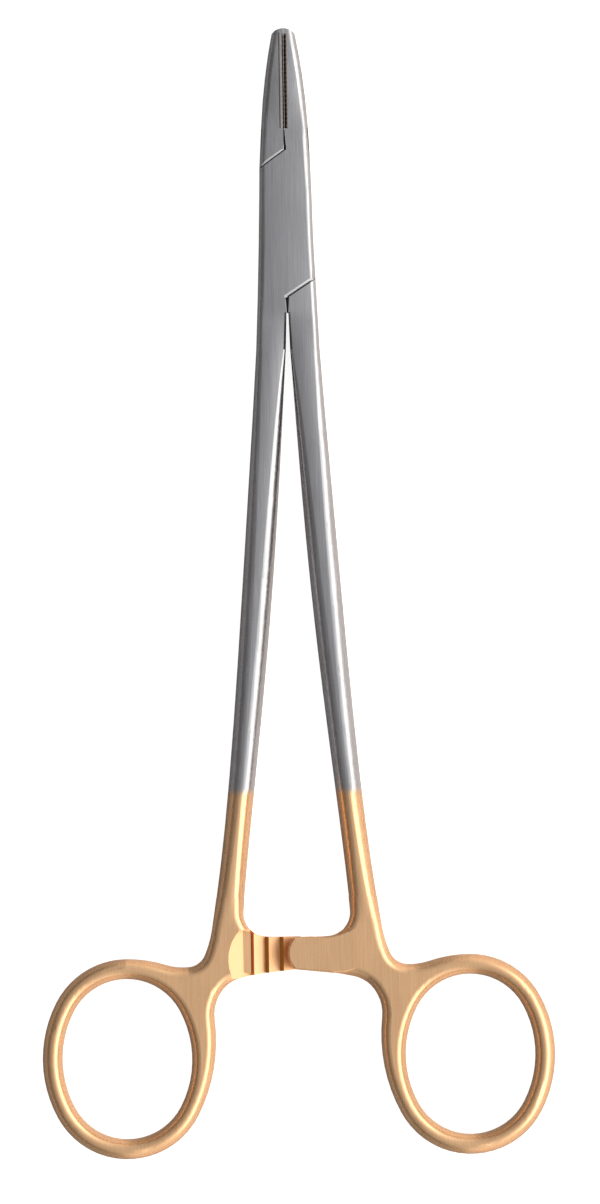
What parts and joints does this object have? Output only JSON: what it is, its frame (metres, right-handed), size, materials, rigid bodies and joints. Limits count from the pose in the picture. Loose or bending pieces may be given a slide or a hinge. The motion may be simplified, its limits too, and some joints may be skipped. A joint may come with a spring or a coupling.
{
  "type": "surgical needle holder",
  "caption": "Ring-handled surgical needle holder with a box lock, serrated jaw inserts, a ratchet and gold-plated finger rings, for gripping a suturing needle.",
  "frame": {"origin": "on the pivot axis, at the rear face of the box lock, which rests on the table", "axes": "+Y along the instrument towards the tip of the jaws, +Z out of the front face along the pivot axis, +X to the right with the jaws up"},
  "size_m": [0.0816, 0.1794, 0.005],
  "materials": {
    "steel": "satin, brushed lengthwise; gold-plated from near the ends of the shanks over the ratchet arms and the rings",
    "carbide": "fine ground, serrated"
  },
  "bodies": {
    "box_body": {"box_half": "steel", "pivot_pin": "steel", "box_jaw_insert": "carbide"},
    "blade_body": {"blade_half": "steel", "blade_jaw_insert": "carbide"}
  },
  "joints": [
    {"name": "box_lock", "type": "hinge", "parent": "box_body", "child": "blade_body", "pos_m": [0, 0, 0], "axis": [0, 0, 1], "range_deg": [0, 60]}
  ]
}
